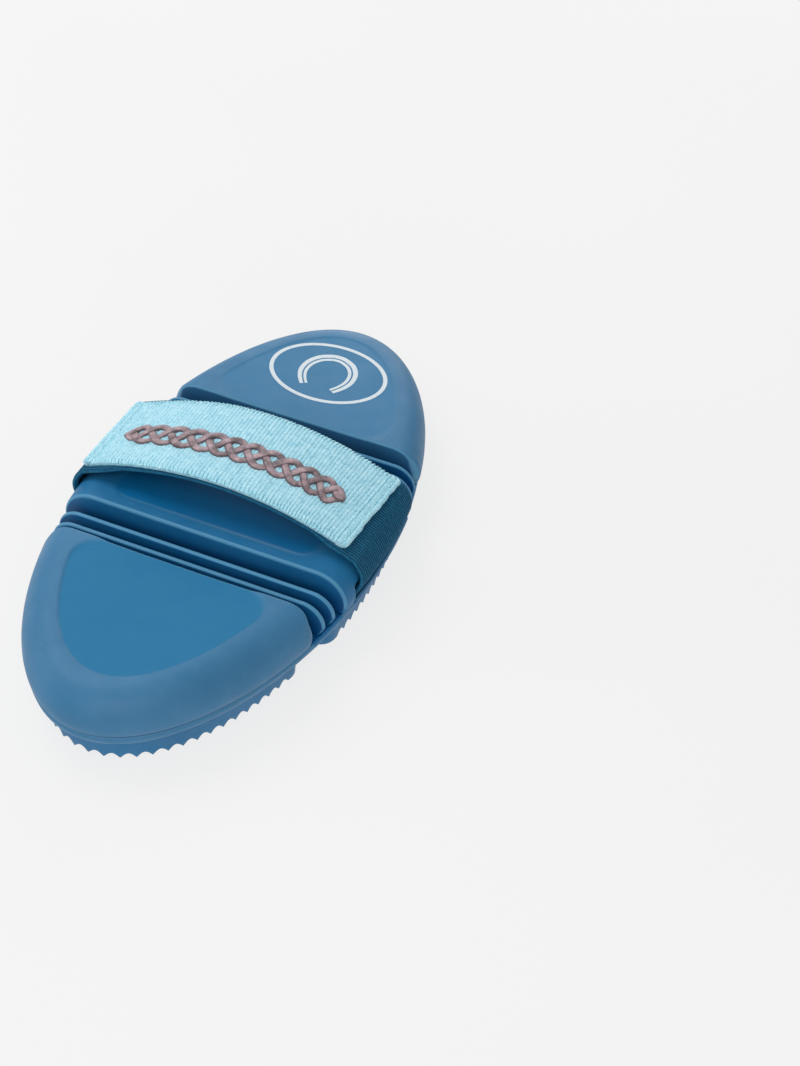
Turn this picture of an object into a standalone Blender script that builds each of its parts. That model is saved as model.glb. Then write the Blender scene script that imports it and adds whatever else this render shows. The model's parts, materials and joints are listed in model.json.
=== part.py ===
"""A flexible oval curry comb with an elastic hand strap.

A rubber body in three stiff sections, joined by two bellows. Each bellows is two ribs standing on a
thin web, so it bends in three places. The underside carries toothed walls in three islands, one
under each section. The hand strap is an elastic band under a webbing cover, and its ends tuck into
slots in the body's rim.

Frame: the tooth tips stand on z = 0, +Y runs along the comb towards its rear end, +X runs across it.
"""

import math

import bpy
from mathutils import Vector

MM = 0.001

# Body, from above: an oval, an ellipse whose ends are drawn in a little. An inset is a distance in
# from that oval.
HALF_LENGTH = 92.5 * MM
HALF_WIDTH = 45.5 * MM
END_TAPER = 0.03  # share of its width that the oval has lost at its ends
OUTLINE_POINTS = 72

# Heights
FLOOR_Z = 9.5 * MM  # underside of the base plate, where the toothed walls start
BASE_TOP_Z = 12.3 * MM  # also the floor of the bellows' grooves
SHELL_BOTTOM_Z = 12.6 * MM
SHOULDER_Z = 15.4 * MM  # where the side wall turns into the rounded shoulder
SHOULDER_RADIUS = 9.4 * MM
TOP_Z = SHOULDER_Z + SHOULDER_RADIUS
DISH_DEPTH = 0.4 * MM
DISH_STEP = 1.6 * MM

# Along the comb
CENTRE_END_Y = 23.2 * MM
RIB_PITCH = 4.42 * MM
RIB_BASE = 1.7 * MM
RIB_CREST = 1.3 * MM
RIB_TOP_Z = 22.0 * MM
RIB_SHOULDER_RADIUS = 7.0 * MM
RIB_INSET = 1.3 * MM
END_START_Y = CENTRE_END_Y + 3 * RIB_PITCH

# Living hinges: a slit whose faces lean back, so each can bend FLEX_ANGLE either way
HINGE_Z = (FLOOR_Z + BASE_TOP_Z) / 2
HINGE_GAP = 0.35 * MM
HINGE_SPACING = 3.73 * MM
HINGE_MIDDLE_Y = CENTRE_END_Y + 1.5 * RIB_PITCH
HINGE_Y = (
    HINGE_MIDDLE_Y - HINGE_SPACING,
    HINGE_MIDDLE_Y,
    HINGE_MIDDLE_Y + HINGE_SPACING,
)
FLEX_ANGLE = math.radians(10)
GAP = 0.3 * MM

# The sections are hollow
SHELL_WALL = 3.2 * MM
CAVITY_INSET = 5.2 * MM

# Toothed walls
TOOTH_PITCH = 4.0 * MM
NOTCH_DEPTH = 1.6 * MM
WALL_HALF_TIP = 1.5 * MM
WALL_HALF_BASE = 1.95 * MM
WALL_TOP_Z = FLOOR_Z - GAP
POST_REACH = 3.6 * MM  # no notches this near a corner: the corners are flat posts
CORNER_REACH = 3.6 * MM
END_WALL_Y = 36.5 * MM
END_ARCS = (  # the ellipse that each arc follows, as its reach along Y and along X
    (85.9 * MM, 38.9 * MM),
    (76.8 * MM, 29.5 * MM),
    (67.5 * MM, 19.8 * MM),
)
RING_HALF_Y = 24.0 * MM
RING_INSET = 5.2 * MM
INNER_HALF_X = 29.3 * MM
INNER_HALF_Y = 13.7 * MM
CROSS_WALL_X = 19.0 * MM

# Vent holes through the base plate
VENT_RADIUS = 1.25 * MM
VENT_SIDES = 10
CENTRE_VENTS = ((0, 0), (10.2, 6.2), (-10.2, 6.2), (10.2, -6.2), (-10.2, -6.2))
CHANNEL_VENTS = ((34.3, 6.0), (34.3, -6.0), (-34.3, 6.0), (-34.3, -6.0))
END_VENTS = ((6.7, 41.2), (-6.7, 41.2), (0, 52.4))

# Hand strap
STRAP_Y = 2.8 * MM
ELASTIC_HALF = 18.5 * MM
ELASTIC_THICK = 1.35 * MM
COVER_HALF = 17.0 * MM
COVER_THICK = 1.4 * MM
COVER_TOP_Z = 37.4 * MM
ARCH_FALL = 5.5  # metres of drop per square metre from the middle of the arch
COVER_END_X = 38.6 * MM
HEM_LENGTH = 3.0 * MM
HEM_THICK = 2.2 * MM
BAND_END_X = 41.2 * MM
THREAD_HALF_X = 34.0 * MM
THREAD_HALF_Y = 5.5 * MM
THREAD_THICK = 0.3 * MM
SKIN_GAP = 0.1 * MM

# Each leg of the elastic, as (inset from the outline, height) of its middle surface
LEG_PATH = (
    (3.9, 25.45),
    (2.3, 24.2),
    (1.0, 22.5),
    (0.1, 20.6),
    (-0.1, 18.7),
    (0.5, 16.9),
    (1.45, 15.0),
    (1.87, 13.3),
    (1.87, 11.2),
)
LEG_FREE_Z = 25.5 * MM  # above this the leg runs straight across, below FOLLOW_Z it follows the rim
LEG_FOLLOW_Z = 19.0 * MM
SLOT_HALF = 20.0 * MM

# Outlines of the slot's parts, as (inset, height)
LIP_SECTION = ((1.7, 9.9), (0.35, 10.4), (0.0, 11.4), (0.05, 13.0), (0.3, 13.4), (0.75, 13.4),
               (1.0, 13.0), (1.0, 11.6), (1.7, 10.7))
POCKET_SECTION = ((1.0, 10.8), (1.0, 13.1), (2.75, 13.1), (2.75, 10.8))
RECESS_SECTION = ((-3.0, 12.0), (2.75, 12.0), (2.75, 14.3), (1.9, 16.5), (1.1, 18.5),
                  (0.75, 20.5), (-3.0, 21.5))

BADGE_Y = 62.0 * MM
BADGE_HALF_X = 19.0 * MM
BADGE_HALF_Y = 15.0 * MM
BADGE_THICK = 0.15 * MM


def half_width(y, inset=0.0):
    """Half the body's width at y, measured to the outline moved in by inset."""
    square = min(1.0, (y / (HALF_LENGTH - inset)) ** 2)
    return (HALF_WIDTH - inset) * math.sqrt(1 - square) * (1 - END_TAPER * square)


def clear_scene():
    for old in list(bpy.data.objects):
        bpy.data.objects.remove(old, do_unlink=True)


def material(name, colour, roughness):
    made = bpy.data.materials.new(name)
    made.use_nodes = True
    shader = made.node_tree.nodes["Principled BSDF"]
    shader.inputs["Base Color"].default_value = (*colour, 1)
    shader.inputs["Roughness"].default_value = roughness
    shader.inputs["Metallic"].default_value = 0
    return made


def solid(name, points, faces, look=None):
    """A mesh object. Without a look it is a helper, which is left out of the model."""
    mesh = bpy.data.meshes.new(name)
    mesh.from_pydata(points, [], faces)
    mesh.update()
    made = bpy.data.objects.new(name, mesh)
    bpy.context.scene.collection.objects.link(made)
    if look is None:
        made.hide_render = True
        made.display_type = "WIRE"
    else:
        mesh.materials.append(look)
    return made


def combine(target, other, operation):
    other.parent = target
    modifier = target.modifiers.new(operation.lower(), "BOOLEAN")
    modifier.operation = operation
    modifier.object = other
    modifier.solver = "EXACT"


def round_edges(target):
    target.data.shade_smooth()
    target.data.set_sharp_from_angle(angle=math.radians(32))


def stacked(name, rings, look=None):
    """A closed solid through rings of points of equal count, the lowest first, each anticlockwise."""
    count = len(rings[0])
    points = [point for ring in rings for point in ring]
    faces = [tuple(reversed(range(count)))]
    for level in range(len(rings) - 1):
        low, high = level * count, (level + 1) * count
        for i in range(count):
            j = (i + 1) % count
            faces.append((low + i, low + j, high + j, high + i))
    top = (len(rings) - 1) * count
    faces.append(tuple(range(top, top + count)))
    return solid(name, points, faces, look)


def ellipse_ring(half_x, half_y, z, centre_y, count):
    turns = (2 * math.pi * i / count for i in range(count))
    return [(half_x * math.cos(t), centre_y + half_y * math.sin(t), z) for t in turns]


def outline_ring(inset, z):
    turns = (2 * math.pi * i / OUTLINE_POINTS for i in range(OUTLINE_POINTS))
    return [
        (
            (HALF_WIDTH - inset) * math.cos(t) * (1 - END_TAPER * math.sin(t) ** 2),
            (HALF_LENGTH - inset) * math.sin(t),
            z,
        )
        for t in turns
    ]


def loft(name, profile, look=None):
    """The body's outline stacked through (inset, z) pairs, the lowest first."""
    return stacked(name, [outline_ring(inset, z) for inset, z in profile], look)


def shoulder(inset, z, radius, steps=6):
    """(inset, z) pairs round a quarter circle that starts upright at (inset, z)."""
    turns = (math.pi / 2 * i / steps for i in range(steps + 1))
    return [(inset + radius * (1 - math.cos(t)), z + radius * math.sin(t)) for t in turns]


def across(name, section, reach=60 * MM):
    """A helper prism that runs across the comb. section holds (y, z), anticlockwise seen from +X."""
    rings = [[(x, y, z) for y, z in section] for x in (-reach, reach)]
    count = len(section)
    faces = [tuple(reversed(range(count))), tuple(range(count, 2 * count))]
    faces += [(i, (i + 1) % count, count + (i + 1) % count, count + i) for i in range(count)]
    return solid(name, rings[0] + rings[1], faces)


def block(name, y_low, y_high, z_low=0.0, z_high=60 * MM):
    return across(name, [(y_low, z_low), (y_high, z_low), (y_high, z_high), (y_low, z_high)])


def slit_margin(z):
    return HINGE_GAP / 2 + abs(z - HINGE_Z) * math.tan(FLEX_ANGLE / 2)


def hinged_block(name, y_low, y_high, hinged=(True, True)):
    """A block whose hinged ends lean back from the slit."""
    heights = (FLOOR_Z - 3 * MM, HINGE_Z, 25 * MM)
    low = [(y_low + slit_margin(z) * hinged[0], z) for z in heights]
    high = [(y_high - slit_margin(z) * hinged[1], z) for z in heights]
    return across(name, [low[0]] + high + low[:0:-1])


def signed(side, low, high):
    """The span low to high on the +Y side, or its mirror image on the -Y side."""
    return (low, high) if side > 0 else (-high, -low)


BASE_PROFILE = [
    (3.6 * MM, FLOOR_Z),
    (3.0 * MM, FLOOR_Z - 0.45 * MM),
    (2.2 * MM, FLOOR_Z - 0.5 * MM),
    (1.5 * MM, FLOOR_Z - 0.2 * MM),
    (1.0 * MM, FLOOR_Z + 0.5 * MM),
    (0.75 * MM, FLOOR_Z + 1.4 * MM),
    (0.8 * MM, FLOOR_Z + 2.2 * MM),
    (1.4 * MM, BASE_TOP_Z),
]
SHELL_PROFILE = [
    (1.5 * MM, SHELL_BOTTOM_Z),
    (0.6 * MM, 13.4 * MM),
    *shoulder(0.0, SHOULDER_Z, SHOULDER_RADIUS),
    (SHOULDER_RADIUS + DISH_STEP, TOP_Z - DISH_DEPTH),
]
RIB_PROFILE = [
    (RIB_INSET + 0.5 * MM, BASE_TOP_Z - 1 * MM),
    (RIB_INSET + 0.5 * MM, BASE_TOP_Z),
    *shoulder(RIB_INSET, RIB_TOP_Z - RIB_SHOULDER_RADIUS, RIB_SHOULDER_RADIUS, steps=5),
]
CAVITY_PROFILE = [
    (CAVITY_INSET, SHELL_BOTTOM_Z - 1 * MM),
    *shoulder(CAVITY_INSET, SHOULDER_Z, TOP_Z - SHELL_WALL - SHOULDER_Z, steps=4),
]


def shell(name, y_low, y_high, look):
    """One hollow upper section, open at the bottom."""
    made = loft(name, SHELL_PROFILE, look)
    combine(made, block(name + "_limits", y_low, y_high), "INTERSECT")
    cavity = loft(name + "_cavity", CAVITY_PROFILE)
    inside = block(name + "_inside", y_low + SHELL_WALL, y_high - SHELL_WALL)
    combine(cavity, inside, "INTERSECT")
    combine(made, cavity, "DIFFERENCE")
    round_edges(made)
    return made


def drill(target, name, places):
    for number, (x, y) in enumerate(places, 1):
        turns = [2 * math.pi * i / VENT_SIDES for i in range(VENT_SIDES)]
        rim = [(VENT_RADIUS * math.cos(t), VENT_RADIUS * math.sin(t)) for t in turns]
        heights = (FLOOR_Z - 3 * MM, BASE_TOP_Z + 3 * MM)
        rings = [[(x * MM + a, y * MM + b, z) for a, b in rim] for z in heights]
        combine(target, stacked(f"{name}_{number}", rings), "DIFFERENCE")


def base_piece(name, y_low, y_high, hinged, look):
    """A length of the base plate, which both its ends hinge on or not."""
    made = loft(name, BASE_PROFILE, look)
    combine(made, hinged_block(name + "_limits", y_low, y_high, hinged), "INTERSECT")
    return made


def bellows(side, look):
    """Two ribs, each standing on its own strip of the base plate."""
    end = "rear" if side > 0 else "front"
    ribs = []
    for place, hinge in (("inner", 0), ("outer", 1)):
        name = f"{end}_rib_{place}"
        low, high = signed(side, HINGE_Y[hinge], HINGE_Y[hinge + 1])
        made = base_piece(name, low, high, (True, True), look)
        middle = side * (CENTRE_END_Y + (hinge + 1) * RIB_PITCH)
        bottom, top = BASE_TOP_Z - 1.5 * MM, RIB_TOP_Z + 1 * MM
        section = [
            (middle - RIB_BASE / 2, bottom),
            (middle + RIB_BASE / 2, bottom),
            (middle + RIB_CREST / 2, top),
            (middle - RIB_CREST / 2, top),
        ]
        rib = loft(name + "_upright", RIB_PROFILE)
        combine(rib, across(name + "_faces", section), "INTERSECT")
        combine(made, rib, "UNION")
        round_edges(made)
        ribs.append(made)
    return ribs


def side_sweep(name, section, side, look=None, steps=10):
    """A section of (inset, z) pairs in millimetres, swept along the rim over the strap's slot."""
    stations = [STRAP_Y - SLOT_HALF + 2 * SLOT_HALF * i / steps for i in range(steps + 1)]
    count = len(section)
    points = [
        (side * (half_width(y) - inset * MM), y, z * MM) for y in stations for inset, z in section
    ]
    faces = [tuple(range(count)), tuple(reversed(range(steps * count, (steps + 1) * count)))]
    for step in range(steps):
        low, high = step * count, (step + 1) * count
        for i in range(count):
            j = (i + 1) % count
            faces.append((low + i, high + i, high + j, low + j))
    made = solid(name, points, faces, look)
    face_out(made)
    return made


def face_out(made):
    """Turns the faces round if the closed mesh is inside out."""
    volume = 0.0
    vertices = made.data.vertices
    for face in made.data.polygons:
        corners = [vertices[i].co for i in face.vertices]
        for i in range(1, len(corners) - 1):
            volume += corners[0].dot(corners[i].cross(corners[i + 1]))
    if volume < 0:
        made.data.flip_normals()


def resampled(path, spacing, closed):
    """The path's points again, evenly spaced. An open path keeps both ends."""
    ring = path + path[:1] if closed else path
    lengths = [(b - a).length for a, b in zip(ring, ring[1:])]
    total = sum(lengths)
    count = max(2, round(total / spacing))
    points, edge, start = [], 0, 0.0
    for i in range(count if closed else count + 1):
        goal = total * i / count
        while edge < len(lengths) - 1 and start + lengths[edge] < goal:
            start += lengths[edge]
            edge += 1
        share = (goal - start) / lengths[edge]
        points.append(ring[edge].lerp(ring[edge + 1], min(1.0, share)))
    return points


def rounded(path, reach):
    """A closed path with its corners rounded, by averaging each point with those within reach."""
    step = 0.25 * MM
    fine = resampled(path, step, closed=True)
    span = round(reach / step)
    count = len(fine)
    return [
        sum((fine[(i + k) % count] for k in range(-span, span + 1)), Vector((0, 0))) / (2 * span + 1)
        for i in range(count)
    ]


def toothed_wall(name, path, closed, look, posts=()):
    """A wall along a plan path, hanging from the base plate, with notches across its lower edge.

    An open wall ends in faces square to Y, so that it meets a wall that runs across the comb.
    """
    teeth = resampled(path, TOOTH_PITCH, closed)
    tooth_count = len(teeth) if closed else len(teeth) - 1
    following = path[1:] + path[:1] if closed else path[1:]
    length = sum((b - a).length for a, b in zip(path, following))
    stations = resampled(path, length / (2 * tooth_count), closed)
    count = len(stations)
    points = []
    for i, here in enumerate(stations):
        before = stations[i - 1] if closed or i else here
        after = stations[(i + 1) % count] if closed or i < count - 1 else here
        along = (after - before).normalized()
        normal = Vector((-along.y, along.x))
        if not closed and i in (0, count - 1):
            normal = Vector((math.copysign(1, normal.x), 0))
        notched = i % 2 and all((here - post).length > POST_REACH for post in posts)
        tip_z = NOTCH_DEPTH if notched else 0.0
        for half, z in ((WALL_HALF_TIP, tip_z), (-WALL_HALF_TIP, tip_z),
                        (-WALL_HALF_BASE, WALL_TOP_Z), (WALL_HALF_BASE, WALL_TOP_Z)):
            place = here + normal * half
            points.append((place.x, place.y, z))
    faces = []
    for i in range(count if closed else count - 1):
        low, high = 4 * i, 4 * ((i + 1) % count)
        faces += [(low + k, low + (k + 1) % 4, high + (k + 1) % 4, high + k) for k in range(4)]
    if not closed:
        last = 4 * (count - 1)
        faces += [(3, 2, 1, 0), (last, last + 1, last + 2, last + 3)]
    made = solid(name, points, faces, look)
    face_out(made)
    return made


def ellipse_arc(reach_y, reach_x, y_start, side, steps=60):
    """Points from y_start round one end of an ellipse and back to y_start, at the end that side says."""
    first = math.asin(y_start / reach_y)
    turns = (first + (math.pi - 2 * first) * i / steps for i in range(steps + 1))
    return [side * Vector((reach_x * math.cos(t), reach_y * math.sin(t))) for t in turns]


def end_island(side, look):
    end = "rear" if side > 0 else "front"
    outer = ellipse_arc(*END_ARCS[0], END_WALL_Y, side)
    corners = (outer[0], outer[-1])
    walls = [toothed_wall(f"{end}_outer_wall", rounded(outer, CORNER_REACH), True, look, corners)]
    inner_start = END_WALL_Y + WALL_HALF_BASE + GAP
    for place, reaches in zip(("middle", "inner"), END_ARCS[1:]):
        arc = ellipse_arc(*reaches, inner_start, side)
        walls.append(toothed_wall(f"{end}_{place}_wall", arc, False, look))
    return walls


def centre_island(look):
    steps = 24
    heights = [RING_HALF_Y * (2 * i / steps - 1) for i in range(steps + 1)]
    right = [Vector((half_width(y, RING_INSET), y)) for y in heights]
    left = [-p for p in right]
    corners = (right[0], right[-1], left[0], left[-1])
    toothed_wall("centre_ring_wall", rounded(right + left, CORNER_REACH), True, look, corners)
    box = [Vector((x, y)) for x, y in (
        (INNER_HALF_X, -INNER_HALF_Y),
        (INNER_HALF_X, INNER_HALF_Y),
        (-INNER_HALF_X, INNER_HALF_Y),
        (-INNER_HALF_X, -INNER_HALF_Y),
    )]
    toothed_wall("centre_inner_wall", rounded(box, CORNER_REACH), True, look)
    reach = INNER_HALF_Y - WALL_HALF_BASE - GAP
    for name, x in (("left", -CROSS_WALL_X), ("right", CROSS_WALL_X)):
        path = [Vector((x, -reach)), Vector((x, reach))]
        toothed_wall(f"centre_cross_wall_{name}", path, False, look)


def sheet(name, rows, thickness, look):
    """A closed solid round a grid of points, thickness thick. Each row runs along the strap."""
    row_length = len(rows[0])
    upper, lower = [], []
    for row in rows:
        for i, here in enumerate(row):
            along = row[min(i + 1, row_length - 1)] - row[max(i - 1, 0)]
            normal = Vector((-along.z, 0, along.x)).normalized()
            upper.append(here + normal * thickness / 2)
            lower.append(here - normal * thickness / 2)
    shift = len(upper)
    faces = []
    for r in range(len(rows) - 1):
        for i in range(row_length - 1):
            a, b = r * row_length + i, (r + 1) * row_length + i
            faces.append((a, a + 1, b + 1, b))
            faces.append((shift + a, shift + b, shift + b + 1, shift + a + 1))
    rim = list(range(row_length))
    rim += [r * row_length + row_length - 1 for r in range(1, len(rows))]
    rim += [(len(rows) - 1) * row_length + i for i in range(row_length - 2, -1, -1)]
    rim += [r * row_length for r in range(len(rows) - 2, 0, -1)]
    for a, b in zip(rim, rim[1:] + rim[:1]):
        faces.append((b, a, shift + a, shift + b))
    made = solid(name, upper + lower, faces, look)
    face_out(made)
    return made


def arch_rows(x_low, x_high, half_y, middle_z, steps):
    """A grid over part of the strap's arch, whose middle surface peaks at middle_z."""
    places = [x_low + (x_high - x_low) * i / steps for i in range(steps + 1)]
    return [
        [Vector((x, y, middle_z - ARCH_FALL * x * x)) for x in places]
        for y in (STRAP_Y - half_y, STRAP_Y + half_y)
    ]


def elastic_leg(side, look):
    """The elastic from the cover's end down round the shoulder and into its slot."""
    rows = []
    steps = 8
    for step in range(steps + 1):
        y = STRAP_Y + ELASTIC_HALF * (2 * step / steps - 1)
        row = []
        for inset, z in LEG_PATH:
            share = (LEG_FREE_Z - z * MM) / (LEG_FREE_Z - LEG_FOLLOW_Z)
            follow = min(1.0, max(0.0, share))
            x = HALF_WIDTH - inset * MM - follow * (HALF_WIDTH - half_width(y))
            row.append(Vector((side * x, y, z * MM)))
        rows.append(row)
    name = "elastic_leg_right" if side > 0 else "elastic_leg_left"
    round_edges(sheet(name, rows, ELASTIC_THICK, look))


def hand_strap(elastic, webbing, thread):
    """The band, its cover and the stitched plate. They rise together, and the legs stretch."""
    cover_middle = COVER_TOP_Z - COVER_THICK / 2
    band_middle = COVER_TOP_Z - COVER_THICK - GAP - ELASTIC_THICK / 2
    band_rows = arch_rows(-BAND_END_X, BAND_END_X, ELASTIC_HALF, band_middle, 20)
    cover_rows = arch_rows(-COVER_END_X, COVER_END_X, COVER_HALF, cover_middle, 20)
    moving = [
        sheet("elastic_band", band_rows, ELASTIC_THICK, elastic),
        sheet("webbing_cover", cover_rows, COVER_THICK, webbing),
    ]
    hem_middle = COVER_TOP_Z - COVER_THICK + HEM_THICK / 2
    hem_start = COVER_END_X + GAP
    for name, side in (("left", -1), ("right", 1)):
        ends = sorted((side * hem_start, side * (hem_start + HEM_LENGTH)))
        rows = arch_rows(*ends, COVER_HALF, hem_middle, 2)
        moving.append(sheet(f"cover_hem_{name}", rows, HEM_THICK, webbing))
        elastic_leg(side, elastic)
    thread_middle = COVER_TOP_Z + SKIN_GAP + THREAD_THICK / 2
    thread_rows = arch_rows(-THREAD_HALF_X, THREAD_HALF_X, THREAD_HALF_Y, thread_middle, 16)
    moving.append(sheet("embroidery_thread", thread_rows, THREAD_THICK, thread))
    return moving


def badge(look):
    bottom = TOP_Z - DISH_DEPTH + SKIN_GAP
    heights = (bottom, bottom + BADGE_THICK)
    rings = [ellipse_ring(BADGE_HALF_X, BADGE_HALF_Y, z, BADGE_Y, 32) for z in heights]
    return stacked("printed_badge", rings, look)


def pivot(name, place, moving, parent=None):
    """An empty on a joint's axis, with what the joint moves parented to it."""
    made = bpy.data.objects.new(name, None)
    made.empty_display_size = 5 * MM
    made.location = place
    bpy.context.scene.collection.objects.link(made)
    bpy.context.view_layer.update()
    for piece in moving:
        piece.parent = made
        piece.matrix_parent_inverse = made.matrix_world.inverted()
    if parent:
        made.parent = parent
        made.matrix_parent_inverse = parent.matrix_world.inverted()
    return made


def main():
    clear_scene()
    rubber = material("blue_rubber", (0.045, 0.20, 0.36), 0.5)
    teeth = material("blue_rubber_teeth", (0.03, 0.17, 0.33), 0.5)
    elastic = material("teal_elastic", (0.01, 0.07, 0.12), 0.85)
    webbing = material("pale_blue_webbing", (0.32, 0.66, 0.78), 0.9)
    thread = material("mauve_thread", (0.24, 0.16, 0.19), 0.7)
    ink = material("white_ink", (0.68, 0.74, 0.78), 0.6)

    centre_shell = shell("centre_shell", -CENTRE_END_Y, CENTRE_END_Y, rubber)
    centre = base_piece("centre_base", -HINGE_Y[0], HINGE_Y[0], (True, True), rubber)
    for name, side in (("left", -1), ("right", 1)):
        recess = side_sweep(f"recess_{name}", RECESS_SECTION, side)
        combine(centre_shell, recess, "DIFFERENCE")
        combine(centre, side_sweep(f"lip_{name}", LIP_SECTION, side), "UNION")
        combine(centre, side_sweep(f"pocket_{name}", POCKET_SECTION, side), "DIFFERENCE")
    drill(centre, "centre_vent", CENTRE_VENTS + CHANNEL_VENTS)
    round_edges(centre)
    centre_island(teeth)

    for end, side in (("front", -1), ("rear", 1)):
        top = shell(f"{end}_shell", *signed(side, END_START_Y, HALF_LENGTH + SHELL_WALL), rubber)
        span = signed(side, HINGE_Y[2], HALF_LENGTH + SHELL_WALL)
        base = base_piece(f"{end}_base", *span, (side > 0, side < 0), rubber)
        drill(base, f"{end}_vent", [(x, side * y) for x, y in END_VENTS])
        round_edges(base)
        inner_rib, outer_rib = bellows(side, rubber)
        end_pieces = [top, base, *end_island(side, teeth)]
        if side > 0:
            end_pieces.append(badge(ink))
        axes = [(0, side * y, HINGE_Z) for y in HINGE_Y]
        inner_axis = pivot(f"{end}_flex", axes[0], [inner_rib])
        middle_axis = pivot(f"{end}_flex_middle", axes[1], [outer_rib], inner_axis)
        pivot(f"{end}_flex_outer", axes[2], end_pieces, middle_axis)

    strap = hand_strap(elastic, webbing, thread)
    pivot("strap_lift", (0, STRAP_Y, COVER_TOP_Z), strap)


main()
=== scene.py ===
"""The looks of a flexible oval curry comb with an elastic hand strap, built round its CAD model.

Metres, in the frame of the CAD: +Y runs along the comb towards its rear end, +X across it, +Z up, and
the tooth tips stand on z = 0. From above, the body is an oval, an ellipse whose ends are drawn in a
little, and an inset is a distance in from that oval. Outlines of sections are lists of (inset, height),
and those written as plain numbers are in millimetres.
"""

import json
import math

import bmesh
import bpy
import numpy as np
from mathutils import Matrix, Vector


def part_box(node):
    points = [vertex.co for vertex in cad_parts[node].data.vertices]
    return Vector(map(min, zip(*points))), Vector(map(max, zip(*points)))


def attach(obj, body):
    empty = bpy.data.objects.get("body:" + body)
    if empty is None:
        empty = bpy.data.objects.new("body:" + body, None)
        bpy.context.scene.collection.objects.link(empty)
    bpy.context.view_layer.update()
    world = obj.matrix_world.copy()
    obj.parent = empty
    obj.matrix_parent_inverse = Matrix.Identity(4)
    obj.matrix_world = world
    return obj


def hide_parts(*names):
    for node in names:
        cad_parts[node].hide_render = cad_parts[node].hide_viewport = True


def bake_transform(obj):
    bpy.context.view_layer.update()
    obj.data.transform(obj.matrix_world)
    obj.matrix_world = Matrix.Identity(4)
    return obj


MM = 0.001
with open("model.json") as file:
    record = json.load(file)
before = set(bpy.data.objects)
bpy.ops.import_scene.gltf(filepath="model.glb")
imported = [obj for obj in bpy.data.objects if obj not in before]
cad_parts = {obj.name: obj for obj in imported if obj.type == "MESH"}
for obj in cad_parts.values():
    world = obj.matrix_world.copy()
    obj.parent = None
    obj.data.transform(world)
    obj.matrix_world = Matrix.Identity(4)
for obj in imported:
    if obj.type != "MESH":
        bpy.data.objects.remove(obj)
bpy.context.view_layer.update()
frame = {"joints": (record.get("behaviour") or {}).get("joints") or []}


def low(node):
    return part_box(node)[0]


def high(node):
    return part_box(node)[1]


# Read from the CAD
HALF_LENGTH = high("rear_shell").y
HALF_WIDTH = high("centre_base").x
TOP_Z = high("rear_shell").z
CAD_GAP = 0.3 * MM  # what the CAD leaves open between the zones of one moulding
SEAM_Z = low("centre_shell").z - CAD_GAP  # where the two mouldings meet
CENTRE_END_Y = high("centre_shell").y
END_START_Y = low("rear_shell").y
FLOOR_Z = high("centre_ring_wall").z + CAD_GAP  # the underside of the base plate
RIB_TOP_Z = high("rear_rib_inner").z
HINGE_Y = [j["pos_m"][1] for j in frame["joints"] if j["name"].startswith("rear")]
COVER_LOW, COVER_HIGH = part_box("webbing_cover")
BAND_LOW, BAND_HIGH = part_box("elastic_band")
HEM_END_X = high("cover_hem_right").x
STRAP_Y = (COVER_LOW.y + COVER_HIGH.y) / 2
COVER_TOP_Z = COVER_HIGH.z
BADGE_LOW, BADGE_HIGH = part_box("printed_badge")

END_TAPER = 0.03  # share of its width that the oval has lost at its ends

# Upper moulding
SHOULDER_Z = 15.4 * MM
SHOULDER_RADIUS = TOP_Z - SHOULDER_Z
CREST = 0.75 * MM  # rounding where a section's top turns into a groove
SIDE_CREST = 3.4 * MM  # the same rounding down the section's side
DISH_DEPTH = 0.45 * MM
DISH_CORNER = 7.0 * MM
CENTRE_DISH = (33.0 * MM, 19.8 * MM)
END_DISH_INSET = 10.2 * MM
END_DISH_START_Y = END_START_Y - 0.6 * MM
END_DISH_CORNER = 12.0 * MM
END_DISH_SHARE = {"front": 1.0, "rear": 0.35}  # how deep each end's dish is

# Bellows
RIB_PITCH = (END_START_Y - CENTRE_END_Y) / 3
RIB_THICK = 1.5 * MM
RIB_CREST = 0.6 * MM
RIB_INSET = 0.5 * MM
RIB_SHOULDER = 7.0 * MM
RIB_SHIFT = 0.3 * MM  # each rib stands this much further out than the one before
PLATE_STEP = 0.14 * MM  # the plate is cut this far further in than the top above it

# Toothed walls
TOOTH_PITCH = 4.0 * MM
NOTCH_DEPTH = 1.65 * MM
TOOTH_STEPS = 10
POST_REACH = 3.6 * MM

# Strap
SLOT_HALF = 20.0 * MM
ARCH_FALL = 5.5  # metres of drop per square metre from the middle of the arch
ELASTIC_THICK = 1.35 * MM
COVER_THICK = 1.4 * MM
CORD_PITCH = 0.95 * MM
CORD_HEIGHT = 0.24 * MM
WEFT_PITCH = 1.15 * MM
WEFT_HEIGHT = 0.21 * MM


# ---- paths


def smooth_step(value):
    share = np.clip(value, 0, 1)
    return share * share * (3 - 2 * share)


def outline_x(y, inset):
    """Half the body's width at y, to the outline moved in by inset."""
    square = np.minimum(1, (np.asarray(y) / (HALF_LENGTH - inset)) ** 2)
    return (HALF_WIDTH - inset) * np.sqrt(1 - square) * (1 - END_TAPER * square)


def lengths_along(path):
    """Length from the path's start to each of its points."""
    return np.concatenate([[0], np.cumsum(np.linalg.norm(np.diff(path, axis=0), axis=1))])


def path_length(path):
    return float(lengths_along(path)[-1])


def left_normals(along):
    """Unit vectors square to these directions, on their left."""
    return np.stack([-along[:, 1], along[:, 0]], axis=1) / np.linalg.norm(along, axis=1)[:, None]


def ringed(path):
    """A closed path with its first point repeated at its end."""
    return np.vstack([path, path[:1]])


def spots_along(path, reaches):
    """The points of a path at these lengths from its start."""
    lengths = lengths_along(path)
    return np.stack([np.interp(reaches, lengths, path[:, k]) for k in (0, 1)], axis=1)


def resampled(path, count):
    """count points spaced evenly along an open path, its two ends among them."""
    return spots_along(path, np.linspace(0, path_length(path), count))


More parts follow.
